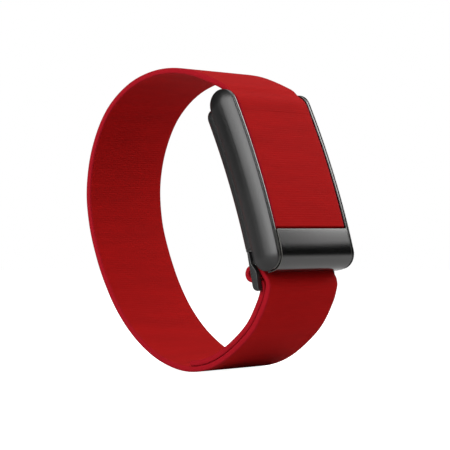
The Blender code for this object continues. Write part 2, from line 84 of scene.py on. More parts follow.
POD_CENTRE = HINGE_PIN - leaned(Vector(), POD_LEAN, 0, *bend_point(HINGE_S, HINGE_H))


def on_pod(x, s, h):
    return leaned(POD_CENTRE, POD_LEAN, x, *bend_point(s, h))


# ---- sizes ---------------------------------------------------------------------------------------------

BAND_HALF = 12.0 * MM
BAND_THICK = 1.2 * MM
FACE_THICK = 1.15 * MM
TURN_THICK = 1.0 * MM
LAYER_STEP = 1.27 * MM  # from one layer's centre line to the next where the band lies double
SELVEDGE_R = 0.45 * MM
RIB_PITCH = 0.5 * MM
RIB_HEIGHT = 0.009 * MM
SAMPLES_PER_RIB = 6
TAIL_LENGTH = 25.6 * MM  # of the inner layer, from the adjuster to its cut end
TURN_LENGTH = 14.5 * MM  # of the thinner stretch round the cross bar
FACE_LENGTH = 26.4 * MM  # of the stretch over the pod's face
TAPER_STEPS = 12  # of the route, from one thickness to the next
EDGE_STEPS = 8  # round the band's rolled edge

CHEEK_TOP, CHEEK_FOOT = 2.5 * MM, -4.15 * MM
CHEEK_ENDS = (-20.3 * MM, 20.0 * MM)
CHEEK_X = (13.05 * MM, 14.2 * MM)
CHEEK_UPRIGHT, CHEEK_ROLL = 0.15 * MM, 0.22 * MM  # a cheek's straight edge, and the radius it rolls over with
CORE_HALF = 12.1 * MM
CORE_TOP = 0.2 * MM
CORE_ENDS = (-19.1 * MM, 18.3 * MM)
CAVITY_HALF, CAVITY_ENDS, CAVITY_TOP = 11.1 * MM, (-13.0 * MM, 13.0 * MM), -0.8 * MM
SILL_ENDS, SILL_HEIGHT, SILL_OVERLAP = (-16.5 * MM, 12.5 * MM), 2.9 * MM, 0.3 * MM
POCKET_HALF, POCKET_ENDS, POCKET_FLOOR = 12.6 * MM, (-17.5 * MM, -14.2 * MM), -0.55 * MM
ABOVE_POD, BELOW_POD = 3 * MM, -8 * MM  # heights clear of the pod, for cutters
BOSS_R = 1.7 * MM
KNUCKLE_ROOM, KNUCKLE_ROOM_HALF = 0.8 * MM, 12.9 * MM
SHELL_HALF, SHELL_ENDS = 12.5 * MM, (-14.65 * MM, 17.9 * MM)
SHELL_RIM, SHELL_SKIN, SHELL_WALL = -4.45 * MM, -7.0 * MM, 0.9 * MM
SHELL_CORNER, SHELL_LOW_CORNER = 1.6 * MM, 0.5 * MM
WINDOW_MID_S, WINDOW_HALF = -0.8 * MM, (9.6 * MM, 6.8 * MM)
WINDOW_DEPTHS = (-6.35 * MM, -7.3 * MM)
WINDOW_CORNER, HOLE_CORNER = 2.0 * MM, 2.1 * MM
HOLE_CUT = (-9 * MM, -5 * MM)
END_LIP_H = (-6.35 * MM, SHELL_RIM - 0.15 * MM)  # of the shell, towards the adjuster
END_LIP_INSET, END_LIP_REACH = 0.25 * MM, 0.22 * MM
FIT = 0.3 * MM

ARM_X = (12.3 * MM, 12.8 * MM)
ARM_FOOT = -0.5 * MM
ARM_HINGE_R = 3.3 * MM
ARM_TAIL, ARM_FOOT_FROM = 2.2 * MM, 4.5 * MM
ARM_BORE_R, ARM_BORE_HALF = 0.75 * MM, 14 * MM
PLATE_H, PLATE_S = (0.5 * MM, 1.05 * MM), (-13.2 * MM, 14.2 * MM)
PANEL_H = (1.35 * MM, 2.5 * MM)
COVER_TOP, COVER_WALL, COVER_EDGE_S = 2.75 * MM, 0.6 * MM, -12.3 * MM
COVER_END = (-16.9 * MM, -0.85 * MM)
COVER_ROUND, COVER_EASE = 3.4 * MM, 4.0 * MM
COVER_LIP_H, COVER_LIP_IN, COVER_LIP_UP = -2.0 * MM, 0.15 * MM, 0.5 * MM
ANCHOR = (-15.9 * MM, 0.75 * MM)
ANCHOR_R = 0.4 * MM

ADJUSTER_LEAN = math.radians(8.5)
ADJUSTER_PIN_R = 0.5 * MM
KNUCKLE_R, KNUCKLE_X = 1.15 * MM, (5.3 * MM, 12.7 * MM)
RAIL_X, RAIL_D = (12.3 * MM, 13.6 * MM), (-1.4 * MM, 7.0 * MM)
SLOT_FROM_D = 1.3 * MM
FOOT_BAR_T, FOOT_BAR_D = (-0.1 * MM, 0.5 * MM), (5.5 * MM, 6.4 * MM)

FLOOR_GLOW = 1.0


# ---- mesh helpers --------------------------------------------------------------------------------------

def show(mesh, name):
    made = bpy.data.objects.new(name, mesh)
    bpy.context.scene.collection.objects.link(made)
    return made


def loft(name, rings):
    """Rings with the same number of points, joined one to the next and closed at both ends."""
    count = len(rings[0])
    faces = [tuple(range(count)), tuple((len(rings) - 1) * count + i for i in reversed(range(count)))]
    for ring in range(len(rings) - 1):
        near, far = ring * count, (ring + 1) * count
        for i in range(count):
            j = (i + 1) % count
            faces.append((near + j, near + i, far + i, far + j))
    mesh = bpy.data.meshes.new(name)
    mesh.from_pydata([tuple(point) for ring in rings for point in ring], [], faces)
    bm = bmesh.new()
    bm.from_mesh(mesh)
    bmesh.ops.recalc_face_normals(bm, faces=bm.faces)
    bm.to_mesh(mesh)
    bm.free()
    return show(mesh, name)


def prism(name, outline, x_from, x_to):
    """A closed outline of world points carried along X."""
    return loft(name, [[(x, point.y, point.z) for point in outline] for x in (x_from, x_to)])


def apply_modifiers(obj):
    graph = bpy.context.evaluated_depsgraph_get()
    mesh = bpy.data.meshes.new_from_object(obj.evaluated_get(graph))
    obj.modifiers.clear()
    obj.data = mesh
    mesh.name = obj.name
    return obj


def boolean(obj, other, operation):
    modifier = obj.modifiers.new(other.name, "BOOLEAN")
    modifier.object = other
    modifier.operation = operation
    modifier.solver = "EXACT"
    apply_modifiers(obj)
    bpy.data.objects.remove(other)


def bevel(obj, width, segments=3, angle=35, edge_material=0):
    modifier = obj.modifiers.new("edges", "BEVEL")
    modifier.width = width
    modifier.segments = segments
    modifier.angle_limit = math.radians(angle)
    modifier.material = edge_material
    apply_modifiers(obj)


def shade(obj, sharp=35):
    obj.data.shade_smooth()
    obj.data.set_sharp_from_angle(angle=math.radians(sharp))
    weighted = obj.modifiers.new("normals", "WEIGHTED_NORMAL")
    weighted.keep_sharp = True
    apply_modifiers(obj)


def arc(centre, radius, start, end, steps):
    """Points of an arc in a plane, angles in degrees, both ends included."""
    angles = [math.radians(start + (end - start) * i / steps) for i in range(steps + 1)]
    return [(centre[0] + radius * math.cos(a), centre[1] + radius * math.sin(a)) for a in angles]


def divided(outline, longest=1.0 * MM):
    """The closed outline with its long edges divided, so that it can follow the pod's bend."""
    points = []
    for (s0, h0), (s1, h1) in zip(outline, outline[1:] + outline[:1]):
        steps = max(1, math.ceil(math.hypot(s1 - s0, h1 - h0) / longest))
        points += [(s0 + (s1 - s0) * i / steps, h0 + (h1 - h0) * i / steps) for i in range(steps)]
    return points


def pod_prism(name, outline, x_from, x_to):
    return prism(name, [on_pod(0, s, h) for s, h in divided(outline)], x_from, x_to)


def block(name, half_x, s_from, s_to, h_from, h_to):
    outline = [(s_from, h_from), (s_to, h_from), (s_to, h_to), (s_from, h_to)]
    return pod_prism(name, outline, -half_x, half_x)


def cylinder_x(name, centre, radius, x_from, x_to, sides=32):
    outline = arc((centre.y, centre.z), radius, 0, 360 - 360 / sides, sides - 1)
    return prism(name, [Vector((0, y, z)) for y, z in outline], x_from, x_to)


def stadium(ends, foot, top, steps=20):
    """An (s, h) outline with round ends."""
    radius, middle = (top - foot) / 2, (top + foot) / 2
    upper = arc((ends[1] - radius, middle), radius, -90, 90, steps)
    lower = arc((ends[0] + radius, middle), radius, 90, 270, steps)
    return upper + lower


def paint(obj, *materials):
    obj.data.materials.clear()
    for material in materials:
        obj.data.materials.append(material)


# ---- material helpers ----------------------------------------------------------------------------------

def add(tree, kind, inputs=None, **settings):
    """A shader node; an input's value may be another node's output."""
    made = tree.nodes.new("ShaderNode" + kind)
    for key, value in settings.items():
        setattr(made, key, value)
    for key, value in (inputs or {}).items():
        if isinstance(value, bpy.types.NodeSocket):
            tree.links.new(value, made.inputs[key])
        else:
            made.inputs[key].default_value = value
    return made


def maths(tree, operation, *values):
    return add(tree, "Math", dict(enumerate(values)), operation=operation).outputs[0]


def ranged(tree, value, low, high, to_low=0.0, to_high=1.0, smooth=False):
    """The value carried from one range to another and held at its ends."""
    made = add(tree, "MapRange", {"Value": value}, interpolation_type="SMOOTHSTEP" if smooth else "LINEAR")
    for key, number in (("From Min", low), ("From Max", high), ("To Min", to_low), ("To Max", to_high)):
        made.inputs[key].default_value = number
    return made.outputs[0]


def mixed(tree, factor, first, second):
    made = add(tree, "Mix", data_type="RGBA")
    for socket, value in zip((made.inputs[0], made.inputs[6], made.inputs[7]), (factor, first, second)):
        if isinstance(value, bpy.types.NodeSocket):
            tree.links.new(value, socket)
        else:
            socket.default_value = value
    return made.outputs[2]


def grain(tree, scale, detail=3.0, roughness=0.55, stretch=(1, 1, 1), coords="Object"):
    """Noise from 0 to 1 in the object's own space, with scale cells to the metre."""
    place = add(tree, "TexCoord").outputs[coords]
    stretched = add(tree, "Mapping", {"Vector": place, "Scale": stretch}).outputs[0]
    inputs = {"Vector": stretched, "Scale": scale, "Detail": detail, "Roughness": roughness}
    return add(tree, "TexNoise", inputs).outputs["Fac"]


def begin(name, **sockets):
    """A material with a Principled shader whose constant values are set on its own sockets."""
    material = bpy.data.materials.new(name)
    material.use_nodes = True
    tree = material.node_tree
    shader = tree.nodes["Principled BSDF"]
    for key, value in sockets.items():
        shader.inputs[key.replace("_", " ")].default_value = value
    return material, tree, shader


def link_bump(tree, shader, height, distance, strength=1.0):
    bump = add(tree, "Bump", {"Height": height, "Distance": distance, "Strength": strength})
    tree.links.new(bump.outputs[0], shader.inputs["Normal"])


def mottled(name, dark, light, roughness, metallic=0.0, cells=900, bump=0.004, stretch=(1, 1, 1), **sockets):
    """A hard surface with a fine grain: its colour and roughness wander a little and its bump is slight."""
    material, tree, shader = begin(name, Metallic=metallic, **sockets)
    broad = grain(tree, cells / 9, stretch=stretch)
    fine = grain(tree, cells * 6, 2.0, stretch=stretch)
    colour = mixed(tree, ranged(tree, broad, 0.3, 0.7), (*dark, 1), (*light, 1))
    tree.links.new(colour, shader.inputs["Base Color"])
    spread = maths(tree, "ADD", maths(tree, "MULTIPLY", broad, 0.5), maths(tree, "MULTIPLY", fine, 0.5))
    tree.links.new(ranged(tree, spread, 0.3, 0.7, *roughness), shader.inputs["Roughness"])
    if bump:
        link_bump(tree, shader, fine, bump * MM)
    return material


def knit_material():
    """A ribbed knit in metric UV: u runs across the band and v along it, both in millimetres."""
    material, tree, shader = begin(
        "band_knit", Roughness=0.85, Sheen_Weight=0.06, Sheen_Roughness=0.5, Specular_IOR_Level=0.05,
        Sheen_Tint=(1.0, 0.12, 0.14, 1),
    )
    place = add(tree, "SeparateXYZ", {0: add(tree, "UVMap", uv_map="knit").outputs[0]})
    across, along = place.outputs[0], place.outputs[1]
    pitch, column = RIB_PITCH / MM, 0.42
    row = maths(tree, "FLOOR", maths(tree, "DIVIDE", along, pitch))
    stagger = maths(tree, "MULTIPLY", row, 0.5)
    columns = maths(tree, "ADD", maths(tree, "DIVIDE", across, column), stagger)
    turn = maths(tree, "MULTIPLY", columns, math.pi)
    stitch = maths(tree, "ABSOLUTE", maths(tree, "SINE", turn))
    ridge = maths(tree, "COSINE", maths(tree, "MULTIPLY", along, 2 * math.pi / pitch))
    ridge = ranged(tree, ridge, -1.0, 1.0)

    def threads(per_mm_across, per_mm_along, detail):
        x = maths(tree, "MULTIPLY", across, per_mm_across)
        y = maths(tree, "MULTIPLY", along, per_mm_along)
        vector = add(tree, "CombineXYZ", {0: x, 1: y}).outputs[0]
        return add(tree, "TexNoise", {"Vector": vector, "Scale": 1.0, "Detail": detail}).outputs["Fac"]

    deep, main, bright = (0.27, 0.002, 0.002, 1), (0.39, 0.003, 0.0028, 1), (0.5, 0.008, 0.007, 1)
    colour = mixed(tree, ranged(tree, threads(0.05, 0.35, 3.0), 0.35, 0.7, 0.0, 0.5), main, deep)
    streaks = ranged(tree, threads(0.16, 2.1, 2.0), 0.6, 0.74, 0.0, 0.32)
    colour = mixed(tree, streaks, colour, bright)
    fibres = ranged(tree, threads(6.0, 9.0, 2.0), 0.3, 0.7, 0.0, 0.35)
    # Darker between the stitches and in the rib grooves: painted shade in the knit's hollows. The fibres'
    # darker threads are the yarn's own tone.
    between = maths(tree, "SUBTRACT", 1.0, maths(tree, "MULTIPLY", ridge, stitch))
    painted_groove_shade = maths(tree, "MULTIPLY", between, 0.35)
    colour = mixed(tree, maths(tree, "MAXIMUM", fibres, painted_groove_shade), colour, deep)
    # Along the band's edges the red turns pinker: a painted sheen, standing in for the light caught by the
    # fuzz on the edges.
    reach = BAND_HALF / MM
    edge = ranged(tree, maths(tree, "ABSOLUTE", across), reach - 0.75, reach - 0.1, smooth=True)
    colour = mixed(tree, maths(tree, "MULTIPLY", edge, 0.7), colour, (0.27, 0.007, 0.016, 1))
    tree.links.new(colour, shader.inputs["Base Color"])
    loops = maths(tree, "MULTIPLY", stitch, ranged(tree, ridge, 0.0, 1.0, 0.35, 1.0))
    height = maths(tree, "ADD", loops, maths(tree, "MULTIPLY", threads(9.0, 12.0, 2.0), 0.1))
    link_bump(tree, shader, height, 0.01 * MM, 0.4)
    return material


def make_materials():
    black, soot = (0.006, 0.006, 0.006), (0.011, 0.011, 0.011)
    made = {
        "knit": knit_material(),
        "plastic": mottled("pod_plastic", black, soot, (0.27, 0.36)),
        "shell": mottled("shell_plastic", black, soot, (0.3, 0.42)),
        "adjuster": mottled("adjuster_plastic", black, soot, (0.3, 0.4)),
        "gunmetal": mottled("gunmetal", (0.075, 0.075, 0.074), (0.09, 0.089, 0.088), (0.2, 0.23), 1.0,
                            cells=700, bump=0.0, stretch=(0.04, 1, 1)),
        # The bevelled rims of the clasp get a lighter, rougher metal: a painted edge highlight.
        "polished": mottled("gunmetal_painted_edge_highlight", (0.11, 0.108, 0.1), (0.15, 0.147, 0.138), (0.34, 0.42), 1.0,
                            bump=0.0),
        "steel": mottled("steel", (0.42, 0.42, 0.43), (0.55, 0.55, 0.56), (0.22, 0.34), 1.0, bump=0.001),
        "silicone": mottled("silicone", (0.014, 0.014, 0.014), (0.026, 0.026, 0.026), (0.6, 0.75)),
        "board": mottled("circuit_board", (0.006, 0.045, 0.02), (0.012, 0.075, 0.04), (0.35, 0.5)),
        "chip": mottled("chip", (0.02, 0.02, 0.021), (0.04, 0.04, 0.042), (0.45, 0.6)),
        "foil": mottled("battery_foil", (0.36, 0.36, 0.38), (0.5, 0.5, 0.52), (0.3, 0.45), 0.8),
        "led": mottled("led", (0.62, 0.7, 0.5), (0.82, 0.86, 0.7), (0.15, 0.25), bump=0.0),
        "photodiode": mottled("photodiode", (0.05, 0.045, 0.09), (0.1, 0.09, 0.15), (0.1, 0.2), bump=0.0),
    }
    smoked, tree, shader = begin("window", IOR=1.45, Transmission_Weight=0.98)
    haze = grain(tree, 120)
    tree.links.new(mixed(tree, haze, (0.3, 0.3, 0.32, 1), (0.38, 0.38, 0.4, 1)), shader.inputs["Base Color"])
    tree.links.new(ranged(tree, haze, 0.3, 0.7, 0.0, 0.03), shader.inputs["Roughness"])
    made["window"] = smoked
    return made


# ---- pod -----------------------------------------------------------------------------------------------

def cheek_profile():
    """(x, inset) up a cheek's flank: a short upright, a small rolled corner and a wide shallow arc."""
    low, high = CHEEK_X
    half = (CHEEK_TOP - CHEEK_FOOT) / 2
    rise = high - low - CHEEK_UPRIGHT
    meet = 2 * math.atan((rise - CHEEK_ROLL) / (half - CHEEK_ROLL))
    wide = CHEEK_ROLL + (half - CHEEK_ROLL) / math.sin(meet)
    profile = [(low, 0.0)]
    for step in range(6):
        angle = math.pi / 2 + (meet - math.pi / 2) * step / 6
        out = (wide - CHEEK_ROLL) * math.sin(meet) + CHEEK_ROLL * math.sin(angle)
        drop = wide - (wide - CHEEK_ROLL) * math.cos(meet) - CHEEK_ROLL * math.cos(angle)
        profile.append((high - drop, half - out))
    for step in range(14):
        angle = meet * (1 - step / 14)
        profile.append((high - wide * (1 - math.cos(angle)), half - wide * math.sin(angle)))
    return profile


def cheek(name, side):
    """A side wall of the pod, domed outwards."""
    pieces = 40
    loops = []
    for x, inset in cheek_profile():
        ends = (CHEEK_ENDS[0] + inset, CHEEK_ENDS[1] - inset)
        outline = stadium(ends, CHEEK_FOOT + inset, CHEEK_TOP - inset)
        half = len(outline) // 2
        filled = []
        for arch, (s1, h1) in ((outline[:half], outline[half]), (outline[half:], outline[0])):
            s0, h0 = arch[-1]
            filled += arch
            filled += [(s0 + (s1 - s0) * i / pieces, h0 + (h1 - h0) * i / pieces) for i in range(1, pieces)]
        loops.append([on_pod(side * x, s, h) for s, h in filled])
    return loft(name, loops)


def build_upper_housing(materials):
    housing = pod_prism("housing", stadium(CORE_ENDS, CHEEK_FOOT, CORE_TOP), -CORE_HALF, CORE_HALF)
    sill = block("sill", CHEEK_X[0] + SILL_OVERLAP, *SILL_ENDS, CHEEK_FOOT, CHEEK_FOOT + SILL_HEIGHT)
    boolean(housing, sill, "UNION")
    boolean(housing, cheek("cheek_left", -1), "UNION")
    boolean(housing, cheek("cheek_right", 1), "UNION")
    boolean(housing, cylinder_x("hinge_boss", HINGE_PIN, BOSS_R, -CORE_HALF, CORE_HALF), "UNION")
    boolean(housing, block("cavity", CAVITY_HALF, *CAVITY_ENDS, BELOW_POD, CAVITY_TOP), "DIFFERENCE")
    boolean(housing, block("anchor_pocket", POCKET_HALF, *POCKET_ENDS, POCKET_FLOOR, ABOVE_POD), "DIFFERENCE")
    room_r = KNUCKLE_R + KNUCKLE_ROOM
    clearance = cylinder_x("clearance", ADJUSTER_PIN, room_r, -KNUCKLE_ROOM_HALF, KNUCKLE_ROOM_HALF)
    boolean(housing, clearance, "DIFFERENCE")
    lug_half = KNUCKLE_X[0] - FIT
    lug_root = -2.6 * MM
    profile = arc((0, 0), KNUCKLE_R, -60, 210, 24) + [(lug_root, 0.2 * MM), (lug_root, -1.3 * MM)]
    outline = [leaned(ADJUSTER_PIN, POD_LEAN, 0, y, z) for y, z in profile]
    boolean(housing, prism("lug", outline, -lug_half, lug_half), "UNION")
    shade(housing)
    paint(housing, materials["plastic"])
    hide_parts("upper_housing")
    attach(housing, "pod")


def rounded_plan(half_x, ends, radius, low_radius=None, steps=8):
    """An (x, s) outline with round corners and divided long sides; the low corners' radius can differ."""
    high, low = radius, low_radius or radius
    middle, half_s = (ends[0] + ends[1]) / 2, (ends[1] - ends[0]) / 2
    points = []
    for corner, (sx, sy, own) in enumerate(((1, 1, high), (-1, 1, high), (-1, -1, low), (1, -1, low))):
        centre = (sx * (half_x - own), middle + sy * (half_s - own))
        points += arc(centre, own, corner * 90, corner * 90 + 90, steps)
    filled = []
    for (x0, s0), (x1, s1) in zip(points, points[1:] + points[:1]):
        pieces = 16 if math.hypot(x1 - x0, s1 - s0) > 5 * MM else 1
        filled += [(x0 + (x1 - x0) * i / pieces, s0 + (s1 - s0) * i / pieces) for i in range(pieces)]
    return filled


def build_lower_housing(materials):
    """The skin-side shell: a short upright wall that rounds over to the skin, with a hole for the window."""
    lip = 0.4 * MM
    levels = [(CHEEK_FOOT - 0.06 * MM, lip), (SHELL_RIM + 0.1 * MM, lip), (SHELL_RIM, 0.1 * MM)]
    levels.append((SHELL_RIM - 0.1 * MM, 0))
    round_from, round_in = -5.25 * MM, 1.5 * MM
    for step in range(9):
        angle = math.radians(90 * step / 8)
        h = round_from + (SHELL_SKIN - round_from) * math.sin(angle)
        levels.append((h, round_in * (1 - math.cos(angle))))
    rings = []
    for h, inset in levels:
        ends = (SHELL_ENDS[0] + inset / 4, SHELL_ENDS[1] - inset)
        plan = rounded_plan(SHELL_HALF - inset, ends, SHELL_CORNER, SHELL_LOW_CORNER)
        rings.append([on_pod(x, s, h) for x, s in plan])
    shell = loft("skin_shell", rings)
    boolean(shell, block("shell_cavity", CAVITY_HALF, *CAVITY_ENDS, SHELL_SKIN + SHELL_WALL, 0), "DIFFERENCE")
    half_x, half_s = (size + FIT / 2 for size in WINDOW_HALF)
    hole_ends = (WINDOW_MID_S - half_s, WINDOW_MID_S + half_s)
    hole_plan = rounded_plan(half_x, hole_ends, HOLE_CORNER)
    hole = [[on_pod(x, s, h) for x, s in hole_plan] for h in HOLE_CUT]
    boolean(shell, loft("window_hole", hole), "DIFFERENCE")
    lip_ends = (SHELL_ENDS[0] - END_LIP_REACH, SHELL_ENDS[0] + lip)
    boolean(shell, block("end_lip", SHELL_HALF - END_LIP_INSET, *lip_ends, *END_LIP_H), "UNION")
    shade(shell, 40)
    paint(shell, materials["shell"])
    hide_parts("lower_housing")
    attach(shell, "pod")


def build_window(materials):
    """The smoked lens, flat on the skin side with a rolled edge."""
    inner, skin = WINDOW_DEPTHS
    roll = 0.35 * MM
    levels = [(inner, 0.0)]
    for step in range(7):
        angle = math.radians(90 * step / 6)
        levels.append((skin + roll * (1 - math.sin(angle)), roll * (1 - math.cos(angle))))
    rings = []
    for h, inset in levels:
        ends = (WINDOW_MID_S - WINDOW_HALF[1] + inset, WINDOW_MID_S + WINDOW_HALF[1] - inset)
        plan = rounded_plan(WINDOW_HALF[0] - inset, ends, WINDOW_CORNER - inset)
        rings.append([leaned(POD_CENTRE, POD_LEAN, x, -h, s) for x, s in plan])
    lens = loft("smoked_lens", rings)
    shade(lens, 40)
    paint(lens, materials["window"])
    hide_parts("sensor_window")
    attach(lens, "pod")


# ---- clasp ---------------------------------------------------------------------------------------------

def build_clasp_frame(materials):
    """Two thin side arms joined by a face plate under the band, their bevelled rims in a lighter metal that
    paints an edge highlight.
    """
    hinge = (HINGE_S, HINGE_H)
    outline = arc(hinge, ARM_HINGE_R, -180, 90, 40)
    outline += arc(COVER_END, CHEEK_TOP - COVER_END[1], 90, 165, 16)
    outline += [(COVER_END[0] - ARM_TAIL, ARM_FOOT), (HINGE_S - ARM_FOOT_FROM, ARM_FOOT)]
    arms = []
    for name, side in (("clasp_arms", -1), ("right_arm", 1)):
        arm = pod_prism(name, outline, *sorted((side * ARM_X[0], side * ARM_X[1])))
        paint(arm, materials["gunmetal"], materials["polished"])
        # The bevels take the second, lighter metal: a painted highlight along the rims.
        bevel(arm, 0.1 * MM, 2, angle=60, edge_material=1)
        arms.append(arm)
    frame_piece, other = arms
    boolean(frame_piece, other, "UNION")
    plate_half = sum(ARM_X) / 2
    plate = block("face_plate", plate_half, *PLATE_S, *PLATE_H)
    boolean(frame_piece, plate, "UNION")
    bore = cylinder_x("arm_bore", HINGE_PIN, ARM_BORE_R, -ARM_BORE_HALF, ARM_BORE_HALF)
    boolean(frame_piece, bore, "DIFFERENCE")
    shade(frame_piece)
    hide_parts("clasp_frame")
    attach(frame_piece, "clasp")


def round_over(radius, ease, steps=44):
    """(along, down) points of a quarter turn whose curvature grows over the length ease, then stays."""
    total = ease / 2 + radius * math.pi / 2
    along = down = 0.0
    points = [(along, down)]
    for step in range(steps):
        middle = total * (step + 0.5) / steps
        angle = middle ** 2 / (2 * ease * radius) if middle < ease else (middle - ease / 2) / radius
        along += math.cos(angle) * total / steps
        down += math.sin(angle) * total / steps
        points.append((along, down))
    return points


def build_clasp_cover(materials):
    """The hooked end piece: flat over the band's end, then round the pod's lower end."""
    outer = COVER_TOP - COVER_END[1]
    inner = outer - COVER_WALL
    end_s = COVER_END[0]
    outline = [(COVER_EDGE_S, COVER_TOP - COVER_WALL), (COVER_EDGE_S, COVER_TOP)]
    turn = round_over(COVER_ROUND, COVER_EASE)
    outline += [(end_s - outer + turn[-1][0] - along, COVER_TOP - down) for along, down in turn]
    lip_s = end_s - inner + COVER_LIP_IN
    outline += [(end_s - outer, COVER_LIP_H), (lip_s, COVER_LIP_H), (lip_s, COVER_LIP_H + COVER_LIP_UP)]
    outline += arc(COVER_END, inner, 180, 90, 36)
    half = ARM_X[0] - FIT / 2
    cover = pod_prism("hooked_cover", outline, -half, half)
    paint(cover, materials["gunmetal"], materials["polished"])
    # The bevels take the second, lighter metal: a painted highlight along the cover's edges.
    bevel(cover, 0.12 * MM, 3, angle=50, edge_material=1)
    shade(cover)
    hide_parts("clasp_cover")
    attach(cover, "clasp")


# ---- adjuster ------------------------------------------------------------------------------------------

def rail_outline():
    """The (t, d) profile of a rail: a slim ear past the pin, wider below the pod, with a round foot."""
    foot_r, toe_r, ear_r = 1.25 * MM, 0.25 * MM, 0.25 * MM
    skin_t, face_t = 0.45 * MM, -1.1 * MM
    top_d, foot_d = RAIL_D
    skin_corner = arc((skin_t - foot_r, foot_d - foot_r), foot_r, 0, 90, 14)
    face_corner = arc((face_t + toe_r, foot_d - toe_r), toe_r, 90, 180, 8)
    ear = arc((0.6 * MM, top_d + ear_r), ear_r, 180, 360, 12)
    shoulder = [(face_t, 3.3 * MM), (face_t + 0.1 * MM, 3.0 * MM), (-0.6 * MM, 2.3 * MM), (0, SLOT_FROM_D)]
    return ear + skin_corner + face_corner + shoulder


def build_adjuster(materials):
    """The slotted link the band is threaded through; x across, t towards the skin and d down from its pin."""
    def outline_of(points):
        return [leaned(ADJUSTER_PIN, ADJUSTER_LEAN, 0, t, -d) for t, d in points]

    def bar(name, half_x, t, d):
        corners = [(t[0], d[0]), (t[1], d[0]), (t[1], d[1]), (t[0], d[1])]
        return prism(name, outline_of(corners), -half_x, half_x)

    rails = []
    for name, side in (("adjuster_link", 1), ("left_rail", -1)):
        rail = prism(name, outline_of(rail_outline()), *sorted(side * x for x in RAIL_X))
        bevel(rail, 0.16 * MM, 3, angle=60)
        rails.append(rail)
    link, other = rails
    boolean(link, other, "UNION")
    for side in (-1, 1):
        ends = sorted(side * x for x in KNUCKLE_X)
        knuckle = cylinder_x("knuckle", ADJUSTER_PIN, KNUCKLE_R, *ends)
        bevel(knuckle, 0.12 * MM, 3, angle=60)
        boolean(link, knuckle, "UNION")
    joined = sum(RAIL_X) / 2
    boolean(link, bar("head_bar", joined, (-0.55 * MM, 0.55 * MM), (0.6 * MM, SLOT_FROM_D)), "UNION")
    foot_bar = bar("foot_bar", joined, FOOT_BAR_T, FOOT_BAR_D)
    bevel(foot_bar, 0.12 * MM, 3, angle=60)
    boolean(link, foot_bar, "UNION")
    lug_room = cylinder_x("lug_room", ADJUSTER_PIN, KNUCKLE_R + FIT, -KNUCKLE_X[0], KNUCKLE_X[0])
    boolean(link, lug_room, "DIFFERENCE")
    bore = cylinder_x("bore", ADJUSTER_PIN, ADJUSTER_PIN_R + 0.1 * MM, -ARM_X[0], ARM_X[0])
    boolean(link, bore, "DIFFERENCE")
    shade(link, 30)
    paint(link, materials["adjuster"])
    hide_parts("adjuster_frame")
    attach(link, "adjuster")


# ---- band ----------------------------------------------------------------------------------------------

def smooth_route(points, steps=12):
    """A Catmull-Rom curve through the points, both ends included."""
    padded = [2 * points[0] - points[1], *points, 2 * points[-1] - points[-2]]
    route = []
    for a, b, c, d in zip(padded, padded[1:], padded[2:], padded[3:]):
        for i in range(steps):
            t = i / steps
            route.append(0.5 * (2 * b + (c - a) * t + (2 * a - 5 * b + 4 * c - d) * t**2
                                + (3 * b - a - 3 * c + d) * t**3))
    return route + [points[-1]]


def lengths(route):
    total = [0.0]
    for a, b in zip(route, route[1:]):
        total.append(total[-1] + (b - a).length)
    return total


def resampled(route, spacing):
    """Points at an even spacing along the route, from its first point."""
    total = lengths(route)
    points, segment = [], 0
    for i in range(int(total[-1] / spacing) + 1):
        wanted = i * spacing
        while total[segment + 1] < wanted and segment < len(route) - 2:
            segment += 1
        share = (wanted - total[segment]) / (total[segment + 1] - total[segment])
        points.append(route[segment].lerp(route[segment + 1], min(share, 1.0)))
    return points


def shifted(route, offset):
    """The route moved sideways, to its left, by offset."""
    moved = []
    for i, point in enumerate(route):
        along = (route[min(i + 1, len(route) - 1)] - route[max(i - 1, 0)]).normalized()
        moved.append(point + Vector((-along.y, along.x)) * offset)
    return moved


def eased(route, reach, rounds):
    """The route with its kinks averaged out over a few neighbours, ends kept."""
    for _ in range(rounds):
        route = [route[0]] + [
            (route[max(i - reach, 0)] + route[i] * 2 + route[min(i + reach, len(route) - 1)]) / 4
            for i in range(1, len(route) - 1)
        ] + [route[-1]]
    return route


def on_loop(y, z):
    return Vector((LOOP_CENTRE.y + y * MM, LOOP_CENTRE.z + z * MM))


def band_route():
    """The band's centre line as (y, z) points, and its length from the face round to the adjuster."""
    mid_h = sum(PANEL_H) / 2
    face = [on_pod(0, s * MM, mid_h).yz for s in (-12.0, -7.0, -2.0, 3.0, 8.0, 12.0, 14.35)]
    face += [on_pod(0, 16.8 * MM, mid_h - 0.05 * MM).yz, on_pod(0, 18.9 * MM, mid_h - 1.2 * MM).yz]
    loop = [
        (-8.4, 28.6), (0, 31.7), (8.7, 32.3), (17.2, 29.8), (24.0, 24.3), (28.2, 16.5), (29.9, 8.0),
        (29.3, 0), (27.2, -7.2), (24.2, -14.0), (20.2, -20.3), (14.8, -25.8), (8.0, -29.9), (0, -31.6),
        (-8.0, -29.5), (-15.9, -23.5), (-19.8, -17.5), (-21.1, -13.6),
    ]
    turn = [
        (-20.95, -12.5), (-20.1, -11.3), (-18.8, -9.95), (-17.3, -9.5), (-15.9, -9.95),
        (-15.45, -11.1), (-16.1, -12.2), (-17.9, -12.35), (-19.3, -12.6), (-19.75, -13.5), (-19.5, -14.7),
    ]
    outside = smooth_route(face + [on_loop(*point) for point in loop])
    inside = shifted(resampled(outside, 0.25 * MM), -LAYER_STEP)[::-1]
    clear_of_turn = 2.4 * MM
    total = lengths(inside)
    inside = [p for p, at in zip(inside, total) if clear_of_turn <= at <= clear_of_turn + TAIL_LENGTH]
    through = smooth_route([outside[-1], *(on_loop(*point) for point in turn), inside[2]])
    whole = outside + through[1:-1] + inside[2:]
    return eased(resampled(whole, RIB_PITCH / SAMPLES_PER_RIB), 3, 8), lengths(outside)[-1]


